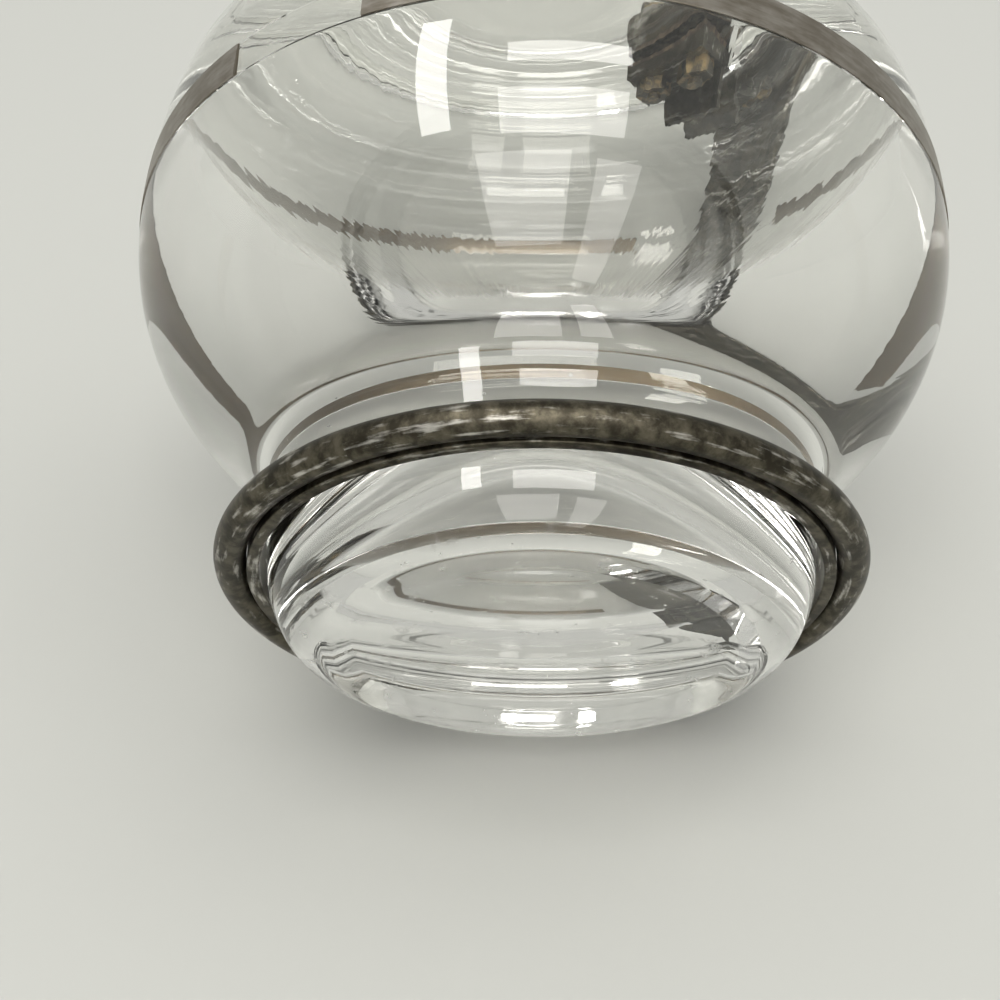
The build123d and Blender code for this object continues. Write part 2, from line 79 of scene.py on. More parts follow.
class Wire:
    """A socket's value, used in arithmetic that adds Math nodes to its graph."""

    def __init__(self, graph: "Graph", socket: bpy.types.NodeSocket) -> None:
        """Keep the graph and the output socket.

        Args:
            graph: The graph that the socket belongs to.
            socket: An output socket.
        """
        self.graph = graph
        self.socket = socket

    def _math(self, operation: str, *values: "Wire | float") -> "Wire":
        """One Math node over the given values, in order."""
        return self.graph.node("ShaderNodeMath", {"operation": operation}, dict(enumerate(values)))

    def __add__(self, other: "Wire | float") -> "Wire":
        """Sum."""
        return self._math("ADD", self, other)

    def __radd__(self, other: float) -> "Wire":
        """Sum with a number on the left."""
        return self._math("ADD", other, self)

    def __sub__(self, other: "Wire | float") -> "Wire":
        """Difference."""
        return self._math("SUBTRACT", self, other)

    def __rsub__(self, other: float) -> "Wire":
        """Difference with a number on the left."""
        return self._math("SUBTRACT", other, self)

    def __mul__(self, other: "Wire | float") -> "Wire":
        """Product."""
        return self._math("MULTIPLY", self, other)

    def __rmul__(self, other: float) -> "Wire":
        """Product with a number on the left."""
        return self._math("MULTIPLY", other, self)

    def power(self, exponent: float) -> "Wire":
        """This value raised to a power."""
        return self._math("POWER", self, exponent)

    def larger(self, other: "Wire | float") -> "Wire":
        """The larger of this value and another."""
        return self._math("MAXIMUM", self, other)

    def between(self, low: float, high: float) -> "Wire":
        """Smooth step from 0 at low to 1 at high; low may be the larger number."""
        settings = {"interpolation_type": "SMOOTHSTEP", "clamp": True}
        values = {"Value": self, "From Min": low, "From Max": high, "To Min": 0.0, "To Max": 1.0}
        if low > high:
            values.update({"From Min": high, "From Max": low, "To Min": 1.0, "To Max": 0.0})
        return self.graph.node("ShaderNodeMapRange", settings, values)


class Graph:
    """A node tree of a material, a world or a geometry modifier, with one way to add nodes."""

    def __init__(self, tree: bpy.types.NodeTree) -> None:
        """Wrap a node tree.

        Args:
            tree: The tree that nodes are added to.
        """
        self.tree = tree

    def add(self, kind: str, settings: dict | None = None, values: dict | None = None) -> bpy.types.Node:
        """Add a node.

        Args:
            kind: The node's type.
            settings: Node properties, set before the sockets.
            values: Numbers, colours or wires by socket name or index.

        Returns:
            The node.
        """
        made = self.tree.nodes.new(kind)
        for name, value in (settings or {}).items():
            setattr(made, name, value)
        for name, value in (values or {}).items():
            self.feed(made.inputs[name], value)
        return made

    def node(
        self,
        kind: str,
        settings: dict | None = None,
        values: dict | None = None,
        output: int | str = 0,
    ) -> Wire:
        """Add a node and return one of its outputs as a wire.

        Args:
            kind: The node's type.
            settings: Node properties, set before the sockets.
            values: Numbers, colours or wires by socket name or index.
            output: The output socket that is returned.

        Returns:
            The chosen output.
        """
        return Wire(self, self.add(kind, settings, values).outputs[output])

    def feed(self, socket: bpy.types.NodeSocket, value: object) -> None:
        """Link a wire to a socket, or set the socket's own value."""
        if isinstance(value, Wire):
            self.tree.links.new(value.socket, socket)
        else:
            socket.default_value = value

    def mix(self, factor: "Wire | float", first: object, second: object) -> Wire:
        """Colour between two colours."""
        return self.node(
            "ShaderNodeMix", {"data_type": "RGBA"}, {0: factor, 6: first, 7: second}, output=2
        )

    def noise(self, place: Wire, scale: float, detail: float = 3.0, roughness: float = 0.5) -> Wire:
        """Noise between 0 and 1 at a place, with features about 1 / scale metres wide."""
        values = {"Vector": place, "Scale": scale, "Detail": detail, "Roughness": roughness}
        return self.node("ShaderNodeTexNoise", None, values)

    def stretched(self, place: Wire, factors: Point) -> Wire:
        """A place multiplied along each axis."""
        return self.node("ShaderNodeVectorMath", {"operation": "MULTIPLY"}, {0: place, 1: factors})


class Surface(Graph):
    """A material's graph, with the places that its patterns use."""

    def __init__(self, name: str) -> None:
        """Start an empty material.

        Args:
            name: The material's name.
        """
        self.material = bpy.data.materials.new(name)
        self.material.use_nodes = True
        self.material.node_tree.nodes.clear()
        super().__init__(self.material.node_tree)
        self.place = self.node("ShaderNodeTexCoord", output="Object")

    def axes(self) -> tuple[Wire, Wire, Wire]:
        """Object X, Y and Z in metres."""
        split = self.add("ShaderNodeSeparateXYZ", None, {0: self.place})
        return tuple(Wire(self, output) for output in split.outputs)

    def round_about(self) -> Wire:
        """Place unrolled about Z: angle, distance from Z and height."""
        x, y, z = self.axes()
        angle = self.node("ShaderNodeMath", {"operation": "ARCTAN2"}, {0: y, 1: x})
        radius = (x * x + y * y).power(0.5)
        return self.node("ShaderNodeCombineXYZ", None, {0: angle, 1: radius, 2: z})

    def bump(self, height: Wire, strength: float, distance: float) -> Wire:
        """Normal from a height, in metres at full strength."""
        values = {"Height": height, "Strength": strength, "Distance": distance}
        return self.node("ShaderNodeBump", None, values)

    def principled(self, values: dict) -> bpy.types.Material:
        """End the material in one Principled shader."""
        shader = self.node("ShaderNodeBsdfPrincipled", None, values)
        return self.close(shader)

    def close(self, shader: Wire) -> bpy.types.Material:
        """Join a shader to the material's output."""
        self.add("ShaderNodeOutputMaterial", None, {"Surface": shader})
        return self.material


@dataclass(frozen=True)
class ClearGlass:
    """Thick pressed glass with a ripple inside, fine scratches and a worn foot."""

    name: str
    tint: tuple[float, float, float, float] = (0.955, 0.957, 0.937, 1.0)
    ior: float = 1.5
    swell: float = 55.0
    swell_depth: float = 0.00001
    ripple_turns: float = 34.0
    ripple_depth: float = 0.000006
    worn_height: float = 0.0035

    def material(self) -> bpy.types.Material:
        """Build the material."""
        surface = Surface(self.name)
        place = surface.place
        _, _, height = surface.axes()
        inside = surface.node("ShaderNodeAttribute", {"attribute_name": "inside"}, output="Fac")
        swell = surface.noise(place, self.swell, 2.0)
        turned = surface.stretched(surface.round_about(), (self.ripple_turns, 60.0, 260.0))
        ripple = surface.noise(turned, 1.0, 1.5) * inside
        scratch_place = surface.stretched(place, (160.0, 1500.0, 700.0))
        scratch = surface.noise(scratch_place, 1.0, 4.0, 0.6).between(0.66, 0.74)
        foot = height.between(self.worn_height, 0.0)
        worn = surface.noise(place, 420.0, 5.0, 0.65).between(0.52, 0.7)
        roughness = (foot * worn * 0.3).larger(scratch * 0.08)
        relief = swell * self.swell_depth + ripple * self.ripple_depth
        return surface.principled({
            "Base Color": self.tint,
            "Roughness": roughness,
            "IOR": self.ior,
            "Transmission Weight": 1.0,
            "Normal": surface.bump(relief, 1.0, 1.0),
        })


@dataclass(frozen=True)
class BubbleAir:
    """Air caught in the glass: bends light the other way from the glass round it."""

    name: str = "bubble_air"
    ior: float = 1.0 / 1.5

    def material(self) -> bpy.types.Material:
        """Build the material."""
        surface = Surface(self.name)
        tone = surface.mix(surface.noise(surface.place, 300.0), (0.97, 0.97, 0.96, 1), (1, 1, 1, 1))
        return surface.principled({
            "Base Color": tone,
            "Roughness": 0.0,
            "IOR": self.ior,
            "Transmission Weight": 1.0,
        })


@dataclass(frozen=True)
class TarnishedPlate:
    """Silver plate gone brown-black, rubbed bright where hands and cloths reach it."""

    name: str
    dark: tuple[float, float, float, float] = (0.034, 0.03, 0.021, 1.0)
    brown: tuple[float, float, float, float] = (0.12, 0.107, 0.078, 1.0)
    bright: tuple[float, float, float, float] = (0.62, 0.6, 0.55, 1.0)
    wear: float = 0.53
    wear_span: float = 0.15

    def material(self) -> bpy.types.Material:
        """Build the material."""
        surface = Surface(self.name)
        place = surface.place
        unrolled = surface.round_about()
        cloud = surface.noise(place, 240.0, 5.0, 0.62)
        mottle = surface.noise(place, 620.0, 4.0, 0.6)
        streak = surface.noise(surface.stretched(unrolled, (7.0, 1500.0, 1500.0)), 1.0, 4.0, 0.55)
        fine = surface.noise(surface.stretched(unrolled, (30.0, 4200.0, 4200.0)), 1.0, 2.0, 0.6)
        rubbed = (cloud * 0.15 + mottle * 0.15 + streak * 0.7).between(
            self.wear, self.wear + self.wear_span
        )
        base = surface.mix(mottle.between(0.35, 0.7), self.dark, self.brown)
        colour = surface.mix(rubbed * 0.8, base, self.bright)
        pits = surface.noise(place, 2400.0, 3.0, 0.7).between(0.6, 0.72)
        roughness = 0.36 - rubbed * 0.12 + mottle * 0.12 + pits * 0.1
        relief = fine * 0.5 + mottle * 0.6 - pits * 0.8
        return surface.principled({
            "Base Color": colour,
            "Metallic": 0.92,
            "Roughness": roughness,
            "Normal": surface.bump(relief, 0.35, 0.00004),
        })


@dataclass(frozen=True)
class BandPlate:
    """Thin silver strip: taupe and clean outside; where it faces the glass, its brown backing is darkened
    further as painted shade for the dark that face reflects.
    """

    name: str
    outside: tuple[float, float, float, float] = (0.36, 0.335, 0.3, 1.0)
    stained: tuple[float, float, float, float] = (0.2, 0.175, 0.14, 1.0)
    # Colour of the faces towards the glass: their own brown tarnish, darkened further as painted shade.
    backing_and_shade: tuple[float, float, float, float] = (0.15, 0.115, 0.075, 1.0)

    def material(self) -> bpy.types.Material:
        """Build the material."""
        surface = Surface(self.name)
        place = surface.place
        unrolled = surface.round_about()
        inside = surface.node("ShaderNodeAttribute", {"attribute_name": "inside"}, output="Fac")
        cloud = surface.noise(place, 160.0, 5.0, 0.6)
        streak = surface.noise(surface.stretched(unrolled, (14.0, 1500.0, 1500.0)), 1.0, 3.0, 0.6)
        front = surface.mix((cloud * 0.6 + streak * 0.5).between(0.42, 0.72), self.stained, self.outside)
        speck = surface.noise(place, 900.0, 4.0, 0.65).between(0.55, 0.75)
        # Painted shade: faces towards the glass get a darker brown, partly their own tarnish and partly
        # standing in for the dark they reflect.
        back = surface.mix(speck, self.backing_and_shade, self.stained)
        roughness = 0.3 + streak * 0.16 + speck * 0.08
        return surface.principled({
            "Base Color": surface.mix(inside, front, back),
            "Metallic": 0.95,
            "Roughness": roughness,
            "Normal": surface.bump(streak + speck * 0.4, 0.25, 0.00003),
        })


@dataclass(frozen=True)
class WornBrass:
    """Plated brass fasteners with the plate worn through on the crowns."""

    name: str
    plate: tuple[float, float, float, float] = (0.1, 0.088, 0.066, 1.0)
    brass: tuple[float, float, float, float] = (0.3, 0.22, 0.115, 1.0)

    def material(self) -> bpy.types.Material:
        """Build the material."""
        surface = Surface(self.name)
        patch = surface.noise(surface.place, 700.0, 4.0, 0.6)
        worn = patch.between(0.45, 0.6)
        return surface.principled({
            "Base Color": surface.mix(worn, self.plate, self.brass),
            "Metallic": 0.95,
            "Roughness": 0.42 - worn * 0.12,
            "Normal": surface.bump(patch, 0.3, 0.00003),
        })


@dataclass(frozen=True)
class CorkPad:
    """Thin brown pad between the lid's glass and its jaws."""

    name: str
    dark: tuple[float, float, float, float] = (0.06, 0.04, 0.026, 1.0)
    light: tuple[float, float, float, float] = (0.2, 0.14, 0.09, 1.0)

    def material(self) -> bpy.types.Material:
        """Build the material."""
        surface = Surface(self.name)
        grain = surface.noise(surface.place, 1600.0, 4.0, 0.6)
        return surface.principled({
            "Base Color": surface.mix(grain.between(0.4, 0.65), self.dark, self.light),
            "Roughness": 0.75 + grain * 0.15,
            "Normal": surface.bump(grain, 0.5, 0.00005),
        })


@dataclass(frozen=True)
class PaleSheet:
    """Pale table top that shows its front only, so that it never hides the object."""

    name: str
    camera_only: bool
    colour: tuple[float, float, float, float] = (0.57, 0.57, 0.535, 1.0)
    roughness: float = 0.5

    def material(self) -> bpy.types.Material:
        """Build the material."""
        surface = Surface(self.name)
        mottle = surface.noise(surface.place, 6.0, 2.0)
        darker = tuple(0.97 * part for part in self.colour[:3]) + (1.0,)
        front = surface.node("ShaderNodeBsdfPrincipled", None, {
            "Base Color": surface.mix(mottle, darker, self.colour),
            "Roughness": self.roughness,
            "Specular IOR Level": 0.2,
        })
        clear = surface.node("ShaderNodeBsdfTransparent")
        hidden = surface.node("ShaderNodeNewGeometry", output="Backfacing")
        if self.camera_only:
            seen = surface.node("ShaderNodeLightPath", output="Is Camera Ray")
            hidden = hidden.larger(1.0 - seen)
        return surface.close(surface.node("ShaderNodeMixShader", None, {0: hidden, 1: front, 2: clear}))


@dataclass(frozen=True)
class LampFace:
    """Bright face of a window or lamp in the room, seen only in glass and metal.

    Its edges are in degrees right and up, seen from the middle of the globe.
    """

    name: str
    left: float
    right: float
    low: float
    high: float
    strength: float
    colour: tuple[float, float, float, float] = (1.0, 0.98, 0.94, 1.0)

    def material(self) -> bpy.types.Material:
        """Build the material."""
        surface = Surface(self.name)
        glow = surface.node(
            "ShaderNodeEmission", None, {"Color": self.colour, "Strength": self.strength}
        )
        return surface.close(glow)


def bezier(start: Station, first: Station, second: Station, end: Station, steps: int) -> list[Station]:
    """Stations along a cubic curve.

    Args:
        start: First station.
        first: Pull at the start.
        second: Pull at the end.
        end: Last station.
        steps: Number of spans.

    Returns:
        The stations, both ends included.
    """
    made = []
    for step in range(steps + 1):
        t = step / steps
        weights = ((1 - t) ** 3, 3 * t * (1 - t) ** 2, 3 * t * t * (1 - t), t ** 3)
        corners = (start, first, second, end)
        made.append(tuple(sum(w * c[k] for w, c in zip(weights, corners)) for k in (0, 1)))
    return made


def oval(
    centre: Station, across: float, upright: float, start: float, sweep: float, steps: int
) -> list[Station]:
    """Stations along an upright ellipse, turned from the level direction, in degrees."""
    turns = [math.radians(start + sweep * step / steps) for step in range(steps + 1)]
    return [
        (centre[0] + across * math.cos(turn), centre[1] + upright * math.sin(turn)) for turn in turns
    ]


def along(start: Station, end: Station, steps: int) -> list[Station]:
    """Stations along a straight line."""
    return [
        (start[0] + (end[0] - start[0]) * step / steps, start[1] + (end[1] - start[1]) * step / steps)
        for step in range(steps + 1)
    ]


def joined(*runs: Iterable[Station]) -> list[Station]:
    """Runs of stations end to end, each station once."""
    made: list[Station] = []
    for run in runs:
        for station in run:
            if not made or math.dist(made[-1], station) > 1e-6:
                made.append(station)
    return made


@dataclass
class Skin:
    """A mesh grown ring by ring, with poles or caps at its ends."""

    points: list[Point] = field(default_factory=list)
    faces: list[tuple[int, ...]] = field(default_factory=list)
    inside: list[float] = field(default_factory=list)
    last: list[int] = field(default_factory=list)

    def ring(self, points: Sequence[Point], inside: float | Sequence[float] = 0.0) -> None:
        """Add a ring and join it to the one before, or to a pole.

        Args:
            points: The ring's points in millimetres; one point makes a pole.
            inside: Share by which the ring counts as an inner face, or one for each point.
        """
        start = len(self.points)
        self.points += [tuple(MM * value for value in point) for point in points]
        self.inside += list(inside) if isinstance(inside, Sequence) else [inside] * len(points)
        new = list(range(start, start + len(points)))
        old = self.last
        count = max(len(old), len(new))
        for k in range(count if old else 0):
            after = (k + 1) % count
            corners = [old[k % len(old)], old[after % len(old)], new[after % len(new)], new[k % len(new)]]
            self.faces.append(tuple(dict.fromkeys(corners)))
        self.last = new

    def cap(self) -> None:
        """Close the last ring with one face."""
        self.faces.append(tuple(self.last))

    def close(self) -> None:
        """Join the last ring to the first."""
        count = len(self.last)
        for k in range(count):
            after = (k + 1) % count
            self.faces.append((self.last[k], self.last[after], after, k))

    def make(self, name: str, sharp: float = 40.0) -> bpy.types.Object:
        """Turn the skin into an object with outward faces and smooth shading.

        Args:
            name: The object's name.
            sharp: Angle in degrees past which an edge stays sharp.

        Returns:
            The new object, at the origin.
        """
        mesh = bpy.data.meshes.new(name)
        mesh.from_pydata(self.points, [], self.faces)
        mesh.validate()
        mark = mesh.attributes.new("inside", "FLOAT", "POINT")
        mark.data.foreach_set("value", np.array(self.inside, np.float32))
        grown = bmesh.new()
        grown.from_mesh(mesh)
        bmesh.ops.recalc_face_normals(grown, faces=grown.faces)
        grown.to_mesh(mesh)
        grown.free()
        return show(name, mesh, sharp)


def show(name: str, mesh: bpy.types.Mesh, sharp: float = 40.0) -> bpy.types.Object:
    """Link a mesh to the scene as an object, smooth but for its sharp edges."""
    mesh.shade_smooth()
    mesh.set_sharp_from_angle(angle=math.radians(sharp))
    made = bpy.data.objects.new(name, mesh)
    bpy.context.scene.collection.objects.link(made)
    return made


def circle(radius: float, height: float, count: int) -> list[Point]:
    """Points of a level circle about Z."""
    turns = [math.tau * k / count for k in range(count)]
    return [(radius * math.cos(turn), radius * math.sin(turn), height) for turn in turns]


def install(
    piece: bpy.types.Object,
    material: bpy.types.Material,
    body: Body,
    stands_for: Sequence[str] = (),
) -> bpy.types.Object:
    """Dress a piece, seat it on its body and hide the CAD nodes that it stands for.

    Args:
        piece: The finished object.
        material: Its material.
        body: The body that it moves with.
        stands_for: CAD nodes that it replaces.

    Returns:
        The piece.
    """
    piece.data.materials.clear()
    piece.data.materials.append(material)
    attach(piece, body.value)
    if stands_for:
        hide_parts(*stands_for)
    LOG.info("%s: %d faces on %s", piece.name, len(piece.data.polygons), body.value)
    return piece


def carry_over(node: str, material: bpy.types.Material) -> None:
    """Give a CAD node that keeps its shape a better material."""
    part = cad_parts[node]
    part.data.materials.clear()
    part.data.materials.append(material)
    LOG.info("%s: carried over", node)


@dataclass
class GlassBody:
    """The glass: foot, thick base, globe and mouth with its pulled spout."""

    foot_height: float = 8.4
    foot_radius: float = 26.8
    foot_corner: float = 5.7
    land_width: float = 2.1
    push_up: float = 1.6
    neck_rise: float = 6.0
    neck_lean: float = 0.08
    neck_flare: float = 4.5
    globe_radius: float = 42.8
    globe_height: float = 43.9
    globe_drop: float = 33.0
    globe_rise: float = 48.0
    globe_start: float = 45.0
    mouth_radius: float = 33.9
    mouth_height: float = 67.5
    mouth_upright: float = 3.6
    shoulder_drop: float = 9.0
    floor_height: float = 38.9
    floor_fullness: float = 0.88
    floor_upturn: float = 0.06
    cavity_height: float = 57.5
    cavity_rise: float = 46.0
    wall: float = 9.2
    rim_wall: float = 2.5
    rim_round: float = 0.8
    spout_reach: float = 5.5
    spout_spread: float = 17.0
    spout_drop: float = 9.4
    spout_curl: float = 2.2
    band_low: float = 44.5
    band_high: float = 48.8
    groove_radius: float = 42.447
    turns: int = 256

    def globe_at(self, height: float) -> float:
        """Outer radius of the upper globe at a height."""
        rise = (height - self.globe_height) / self.globe_rise
        return self.globe_radius * math.sqrt(1 - rise * rise)

    def pull(self, height: float, degrees: float) -> float:
        """How far the spout is pulled out at a height and direction."""
        share = (height - self.mouth_height + self.spout_drop) / self.spout_drop
        if share <= 0:
            return 0.0
        off = (degrees % 360 - 180) / self.spout_spread
        return self.spout_reach * share ** self.spout_curl * math.exp(-off * off)

    def upper_wall(self, waist: float, bore: float, rise: float, mouth: float) -> list[Station]:
        """A wall from its widest circle up to the mouth."""
        turn = math.asin((self.mouth_height - self.shoulder_drop - waist) / rise)
        arc = oval((0, waist), bore, rise, 0, math.degrees(turn), 30)
        lean = Vector((-bore * math.sin(turn), rise * math.cos(turn))).normalized()
        start = Vector(arc[-1])
        curve = bezier(
            tuple(start),
            tuple(start + self.mouth_upright * lean),
            (mouth, self.mouth_height - self.mouth_upright),
            (mouth, self.mouth_height),
            24,
        )
        return joined(arc, curve)

    def rounded(self, wall: list[Station], side: int) -> list[Station]:
        """A wall whose top edge turns over to the rim, outwards side 1, inwards side -1."""
        start = self.mouth_height - self.rim_round
        radii, heights = zip(*wall)
        kept = [station for station in wall if station[1] < start]
        for step in range(9):
            turn = math.radians(90 * step / 8)
            height = start + self.rim_round * math.sin(turn)
            radius = float(np.interp(height, heights, radii))
            kept.append((radius - side * self.rim_round * (1 - math.cos(turn)), height))
        return kept

    def outside(self) -> list[Station]:
        """Stations from the foot's middle up to the rim."""
        land = self.foot_radius - self.foot_corner
        hollow = land - self.land_width
        bowl_radius = (hollow ** 2 + self.push_up ** 2) / (2 * self.push_up)
        half = math.degrees(math.asin(hollow / bowl_radius))
        middle = self.push_up - bowl_radius
        push_up = oval((0, middle), bowl_radius, bowl_radius, 90, -half, 20)
        foot = oval((land, self.foot_height), self.foot_corner, self.foot_height, -90, 90, 24)
        lower = oval(
            (0, self.globe_height), self.globe_radius, self.globe_drop,
            -self.globe_start, self.globe_start, 40,
        )
        lean = Vector(lower[1]) - Vector(lower[0])
        start = Vector(foot[-1])
        neck = bezier(
            foot[-1],
            tuple(start + self.neck_rise * Vector((self.neck_lean, 1))),
            tuple(Vector(lower[0]) - self.neck_flare * lean.normalized()),
            lower[0],
            24,
        )
        wall = self.upper_wall(self.globe_height, self.globe_radius, self.globe_rise, self.mouth_radius)
        wall = self.rounded(wall, 1)
        below = [station for station in wall if station[1] < self.band_low - 0.3]
        above = [station for station in wall if station[1] > self.band_high + 0.3]
        groove = joined(
            [(self.globe_at(self.band_low), self.band_low)],
            along((self.groove_radius, self.band_low), (self.groove_radius, self.band_high), 4),
            [(self.globe_at(self.band_high), self.band_high)],
        )
        return joined(push_up, along(push_up[-1], (land, 0), 2), foot, neck, lower, below, groove, above)

    def cavity(self) -> list[Station]:
        """Stations from the rim down to the middle of the floor."""
        bore = self.globe_radius - self.wall
        floor = bezier(
            (0, self.floor_height),
            (self.floor_fullness * bore, self.floor_height),
            (bore, self.cavity_height - self.floor_upturn * (self.cavity_height - self.floor_height)),
            (bore, self.cavity_height),
            48,
        )
        wall = self.upper_wall(
            self.cavity_height, bore, self.cavity_rise, self.mouth_radius - self.rim_wall
        )
        return joined(floor, self.rounded(wall, -1))[::-1]

    def mesh(self) -> bpy.types.Object:
        """Build the glass as one closed skin."""
        skin = Skin()
        for stations, inside in ((self.outside(), 0.0), (self.cavity(), 1.0)):
            for radius, height in stations:
                if radius < 1e-6:
                    skin.ring([(0.0, 0.0, height)], inside)
                    continue
                ring = []
                for k in range(self.turns):
                    degrees = 360 * k / self.turns
                    reach = radius + self.pull(height, degrees)
                    turn = math.radians(degrees)
                    ring.append((reach * math.cos(turn), reach * math.sin(turn), height))
                skin.ring(ring, inside)
        return skin.make("glass_body_clear", sharp=50.0)

    def build(self, glass: bpy.types.Material) -> None:
        """Build the glass and install it."""
        install(self.mesh(), glass, Body.PITCHER, ["glass_body"])


@dataclass
class WaistBand:
    """Two thin strips in the groove round the waist."""

    glass: GlassBody
    low: float = 44.55
    high: float = 48.75
    inner: float = 42.472
    proud: float = 0.12
    handle_gap: float = 30.0
    spout_gap: float = 20.0
    edge: float = 0.05
    steps: int = 150

    def section(self) -> list[Station]:
        """The strip's outline: crowned face, small edge rounds, flat back."""
        heights = [self.low + (self.high - self.low) * k / 6 for k in range(7)]
        face = [(self.glass.globe_at(height) + self.proud, height) for height in heights]
        face[0] = (face[0][0], self.low + self.edge)
        face[-1] = (face[-1][0], self.high - self.edge)
        rounds_low = (face[0][0] - self.edge, self.low)
        rounds_high = (face[-1][0] - self.edge, self.high)
        return [(self.inner, self.low), rounds_low, *face, rounds_high, (self.inner, self.high)]

    def strip(self, name: str, side: int) -> bpy.types.Object:
        """One strip, on the side of Y that side says."""
        skin = Skin()
        outline = self.section()
        backs = [1.0] + [0.0] * (len(outline) - 2) + [1.0]
        start = self.handle_gap / 2
        sweep = 180 - (self.handle_gap + self.spout_gap) / 2
        for step in range(self.steps + 1):
            turn = math.radians(side * (start + sweep * step / self.steps))
            ring = [(r * math.cos(turn), r * math.sin(turn), z) for r, z in outline]
            skin.ring(ring, backs)
            if step == 0:
                skin.cap()
        skin.cap()
        return skin.make(name, sharp=30.0)

    def build(self, plate: bpy.types.Material) -> None:
        """Build both strips and install them."""
        for name, side in (("left", 1), ("right", -1)):
            node = f"waist_band_{name}"
            strip = self.strip(f"{node}_strip", side)
            install(strip, plate, Body.PITCHER, [node])


@dataclass
class BaseRing:
    """Round wire bead and the flanged collar inside it."""

    height: float = 8.5
    bead_radius: float = 1.6
    bead_centre: float = 30.4
    bore: float = 27.5
    flange_drop: float = 1.4
    top: float = 11.6
    wall: float = 0.8
    lip: float = 0.5
    edge: float = 0.2
    seat: float = 0.05
    turns: int = 256

    def spun(self, name: str, outline: list[Station]) -> bpy.types.Object:
        """A closed outline turned about Z."""
        skin = Skin()
        for radius, height in outline:
            skin.ring(circle(radius, height, self.turns))
        skin.close()
        return skin.make(name, sharp=35.0)

    def bead(self) -> bpy.types.Object:
        """The outer wire."""
        return self.spun(
            "base_ring_wire",
            oval((self.bead_centre, self.height), self.bead_radius, self.bead_radius, 0, 360, 36)[:-1],
        )

    def collar(self) -> bpy.types.Object:
        """The collar, its lower edges rounded and its lip turned in."""
        outer = self.bead_centre - self.bead_radius - self.seat
        bottom = self.height - self.flange_drop
        wall_outer = self.bore + self.wall
        flange_top = self.height + self.flange_drop / 2
        lip = self.bore - self.lip / 2
        outline = joined(
            oval((self.bore + self.edge, bottom + self.edge), self.edge, self.edge, 180, 90, 5),
            oval((outer - self.edge, bottom + self.edge), self.edge, self.edge, -90, 90, 5),
            [(outer, flange_top), (wall_outer, flange_top + outer - wall_outer)],
            [(wall_outer, self.top), (lip, self.top), (lip, self.top - self.lip)],
            [(self.bore, self.top - 2 * self.lip)],
        )
        return self.spun("base_ring_flange", outline)

    def build(self, plate: bpy.types.Material) -> None:
        """Build bead and collar and install them."""
        install(self.bead(), plate, Body.PITCHER, ["base_ring_bead"])
        install(self.collar(), plate, Body.PITCHER, ["base_ring_collar"])


@dataclass
class StrapHandle:
    """Tapered strap from the base ring up and over to the hinge bracket."""

    thickness: float = 2.0
    foot_width: float = 12.5
    head_width: float = 10.0
    edge: float = 0.7
    foot: Station = (31.2, 8.5)
    foot_angle: float = 64.0
    foot_pull: float = 12.0
    grip_pull: float = 26.0
    grip: float = 50.8
    grip_start: float = 58.0
    elbow: float = 4.0
    end: float = 42.1
    corner_steps: int = 4

    def route(self) -> list[Station]:
        """The strap's middle line."""
        seat = self.level_height()
        pull = math.radians(self.foot_angle)
        first = (
            self.foot[0] + self.foot_pull * math.cos(pull),
            self.foot[1] + self.foot_pull * math.sin(pull),
        )
        second = (self.grip, self.grip_start - self.grip_pull)
        return joined(
            bezier(self.foot, first, second, (self.grip, self.grip_start), 60),
            along((self.grip, self.grip_start), (self.grip, seat - self.elbow), 12),
            oval((self.grip - self.elbow, seat - self.elbow), self.elbow, self.elbow, 0, 90, 14),
            along((self.grip - self.elbow, seat), (self.end, seat), 6),
        )

    @staticmethod
    def level_height() -> float:
        """Height of the middle of the strap's level end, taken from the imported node."""
        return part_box("handle_strap")[1].z / MM - StrapHandle.thickness / 2

    def section(self, width: float) -> list[Station]:
        """Rounded rectangle: across the strap and through it."""
        half, deep = width / 2 - self.edge, self.thickness / 2 - self.edge
        corners = ((half, deep, 0), (-half, deep, 90), (-half, -deep, 180), (half, -deep, 270))
        outline = []
        for across, through, turn in corners:
            outline += oval((across, through), self.edge, self.edge, turn, 90, self.corner_steps)
        return outline

    def build(self, plate: bpy.types.Material) -> None:
        """Sweep the section along the route and install the strap."""
        route = self.route()
        top = self.level_height() + self.thickness / 2
        skin = Skin()
        for index, (x, z) in enumerate(route):
            before = Vector(route[max(index - 1, 0)])
            after = Vector(route[min(index + 1, len(route) - 1)])
            run = (after - before).normalized()
            width = self.foot_width + (self.head_width - self.foot_width) * z / top
            ring = [(x + run.y * v, u, z - run.x * v) for u, v in self.section(width)]
            skin.ring(ring)
            if index == 0:
                skin.cap()
        skin.cap()
        strap = skin.make("handle_strap_bent", sharp=35.0)
        install(strap, plate, Body.PITCHER, ["handle_strap"])


